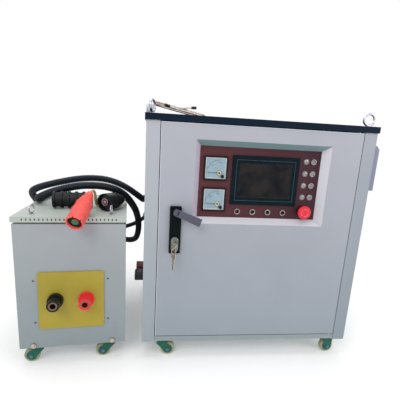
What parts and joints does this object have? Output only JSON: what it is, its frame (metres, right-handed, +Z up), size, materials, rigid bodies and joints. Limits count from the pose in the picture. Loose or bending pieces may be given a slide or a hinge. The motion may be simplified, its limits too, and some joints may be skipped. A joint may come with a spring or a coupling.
{
  "type": "induction heating machine",
  "caption": "Two-piece induction heating machine: a wheeled power cabinet with recessed touch panel and hinged door, and a smaller output unit with two cable terminals.",
  "frame": {"origin": "middle of the rigid machine's outline, on the floor", "axes": "+X to the viewer's right along the cabinet's front, +Y from the door face to the rear, +Z up"},
  "size_m": [1.2736, 0.8207, 0.8872],
  "materials": {
    "shell": "satin",
    "slab": "satin",
    "hood": "satin",
    "bare_steel": "brushed",
    "chrome": "polished",
    "alloy": "brushed",
    "modules": "matte",
    "black": "matte",
    "sockets": "gloss",
    "caster_green": "gloss",
    "panel": "satin",
    "bezel": "gloss",
    "glass": "clear",
    "red_button": "gloss",
    "lever": "satin",
    "lock_black": "gloss",
    "unit_grey": "satin",
    "lid": "satin",
    "yellow": "satin",
    "red_term": "gloss",
    "black_term": "gloss",
    "copper": "satin",
    "tread": "matte",
    "conduit": "satin",
    "tan": "matte",
    "coral": "matte",
    "plug_black": "matte",
    "braid": "woven",
    "grey_plastic": "satin",
    "needle": "matte"
  },
  "bodies": {
    "frame": {"base_tray": "shell", "left_side_panel": "shell", "right_side_panel": "shell", "rear_panel": "shell", "top_slab": "slab", "side_hood": "hood", "lifting_eyes": "chrome", "hinge_pins": "bare_steel", "heatsink": "alloy", "power_modules": "modules", "fan_frame": "black", "side_sockets": "sockets", "cable_glands": "black", "caster_mounts": "caster_green", "unit_shell": "unit_grey", "unit_lid": "lid", "terminal_plate": "yellow", "red_terminal": "red_term", "black_terminal": "black_term", "transformer": "copper", "conduit": "conduit", "link_cable": "conduit", "jumper_lead": "tan", "red_plug": "coral", "black_plugs": "plug_black", "sensor_leads": "braid", "lead_plugs": "grey_plastic"},
    "door": {"door": "shell", "control_plate": "panel", "meter_cases": "black", "screen_bezel": "bezel", "glass_panes": "glass", "button_rings": "chrome", "indicator_lamps": "chrome", "stop_button_body": "black", "sensor_sockets": "chrome", "lock_plate": "lock_black"},
    "ammeter_needle": {"ammeter_needle": "needle"},
    "voltmeter_needle": {"voltmeter_needle": "needle"},
    "button_1": {"button_1": "chrome"},
    "button_2": {"button_2": "chrome"},
    "button_3": {"button_3": "chrome"},
    "button_4": {"button_4": "chrome"},
    "stop_button": {"stop_button_head": "red_button"},
    "lock_hub": {"lock_hub": "bare_steel"},
    "lock_lever": {"lock_lever": "lever"},
    "lock_key": {"lock_key": "bare_steel"},
    "fan": {"fan_rotor": "black"},
    "cab_fork_front": {"cab_fork_front": "caster_green"},
    "cab_wheel_fl": {"cab_wheel_fl": "tread"},
    "cab_fork_rear": {"cab_fork_rear": "caster_green"},
    "cab_wheel_rl": {"cab_wheel_rl": "tread"},
    "unit_fork_left": {"unit_fork_left": "caster_green"},
    "unit_wheel_fl": {"unit_wheel_fl": "tread"},
    "unit_fork_right": {"unit_fork_right": "caster_green"},
    "unit_wheel_fr": {"unit_wheel_fr": "tread"},
    "cab_wheel_fr": {"cab_wheel_fr": "tread"},
    "cab_wheel_rr": {"cab_wheel_rr": "tread"},
    "unit_wheel_rl": {"unit_wheel_rl": "tread"},
    "unit_wheel_rr": {"unit_wheel_rr": "tread"}
  },
  "joints": [
    {"name": "door_hinge", "type": "hinge", "parent": "frame", "child": "door", "pos_m": [0.52243, -0.27054, 0.45], "axis": [0, 0, 1], "range_deg": [0, 120]},
    {"name": "ammeter_pointer", "type": "hinge", "parent": "door", "child": "ammeter_needle", "pos_m": [0.07007, -0.25254, 0.66749], "axis": [0, 1, 0], "range_deg": [0, 90], "stiffness_Nm_per_rad": 0.001, "springref_deg": -17.19},
    {"name": "voltmeter_pointer", "type": "hinge", "parent": "door", "child": "voltmeter_needle", "pos_m": [0.07007, -0.25254, 0.56449], "axis": [0, 1, 0], "range_deg": [0, 90], "stiffness_Nm_per_rad": 0.001, "springref_deg": -17.19},
    {"name": "press_button_1", "type": "slide", "parent": "door", "child": "button_1", "axis": [0, 1, 0], "range_m": [0, 0.002], "stiffness_N_per_m": 400, "springref_m": -0.001},
    {"name": "press_button_2", "type": "slide", "parent": "door", "child": "button_2", "axis": [0, 1, 0], "range_m": [0, 0.002], "stiffness_N_per_m": 400, "springref_m": -0.001},
    {"name": "press_button_3", "type": "slide", "parent": "door", "child": "button_3", "axis": [0, 1, 0], "range_m": [0, 0.002], "stiffness_N_per_m": 400, "springref_m": -0.001},
    {"name": "press_button_4", "type": "slide", "parent": "door", "child": "button_4", "axis": [0, 1, 0], "range_m": [0, 0.002], "stiffness_N_per_m": 400, "springref_m": -0.001},
    {"name": "stop_press", "type": "slide", "parent": "door", "child": "stop_button", "axis": [0, 1, 0], "range_m": [0, 0.005], "stiffness_N_per_m": 600, "springref_m": -0.002},
    {"name": "lock_turn", "type": "hinge", "parent": "door", "child": "lock_hub", "pos_m": [-0.06907, -0.27854, 0.54], "axis": [0, -1, 0], "range_deg": [-70, 20]},
    {"name": "lever_fold", "type": "hinge", "parent": "lock_hub", "child": "lock_lever", "pos_m": [-0.06907, -0.29554, 0.54], "axis": [0.342, 0, 0.9397], "range_deg": [0, 14]},
    {"name": "key_turn", "type": "hinge", "parent": "door", "child": "lock_key", "pos_m": [-0.06907, -0.27854, 0.432], "axis": [0, 1, 0], "range_deg": [-35, 55]},
    {"name": "fan_spin", "type": "hinge", "parent": "frame", "child": "fan", "pos_m": [0.20593, 0.29146, 0.6], "axis": [0, 1, 0], "continuous": true},
    {"name": "cab_front_swivel", "type": "hinge", "parent": "frame", "child": "cab_fork_front", "pos_m": [-0.10107, -0.24454, 0.06], "axis": [0, 0, 1], "continuous": true},
    {"name": "cab_wheel_fl_roll", "type": "hinge", "parent": "cab_fork_front", "child": "cab_wheel_fl", "pos_m": [-0.07707, -0.24454, 0.025], "axis": [0, 1, 0], "continuous": true},
    {"name": "cab_rear_swivel", "type": "hinge", "parent": "frame", "child": "cab_fork_rear", "pos_m": [-0.10107, 0.28746, 0.06], "axis": [0, 0, 1], "continuous": true},
    {"name": "cab_wheel_rl_roll", "type": "hinge", "parent": "cab_fork_rear", "child": "cab_wheel_rl", "pos_m": [-0.07707, 0.28746, 0.025], "axis": [0, 1, 0], "continuous": true},
    {"name": "unit_left_swivel", "type": "hinge", "parent": "frame", "child": "unit_fork_left", "pos_m": [-0.51476, -0.2667, 0.06], "axis": [0, 0, 1], "continuous": true},
    {"name": "unit_wheel_fl_roll", "type": "hinge", "parent": "unit_fork_left", "child": "unit_wheel_fl", "pos_m": [-0.53863, -0.26917, 0.025], "axis": [-0.1031, 0.9947, 0], "continuous": true},
    {"name": "unit_right_swivel", "type": "hinge", "parent": "frame", "child": "unit_fork_right", "pos_m": [-0.28201, -0.24256, 0.06], "axis": [0, 0, 1], "continuous": true},
    {"name": "unit_wheel_fr_roll", "type": "hinge", "parent": "unit_fork_right", "child": "unit_wheel_fr", "pos_m": [-0.30588, -0.24504, 0.025], "axis": [-0.1031, 0.9947, 0], "continuous": true},
    {"name": "cab_wheel_fr_roll", "type": "hinge", "parent": "frame", "child": "cab_wheel_fr", "pos_m": [0.53493, -0.24454, 0.025], "axis": [0, 1, 0], "continuous": true},
    {"name": "cab_wheel_rr_roll", "type": "hinge", "parent": "frame", "child": "cab_wheel_rr", "pos_m": [0.53493, 0.28746, 0.025], "axis": [0, 1, 0], "continuous": true},
    {"name": "unit_wheel_rl_roll", "type": "hinge", "parent": "frame", "child": "unit_wheel_rl", "pos_m": [-0.55375, 0.10929, 0.025], "axis": [-0.1031, 0.9947, 0], "continuous": true},
    {"name": "unit_wheel_rr_roll", "type": "hinge", "parent": "frame", "child": "unit_wheel_rr", "pos_m": [-0.32099, 0.13342, 0.025], "axis": [-0.1031, 0.9947, 0], "continuous": true}
  ]
}
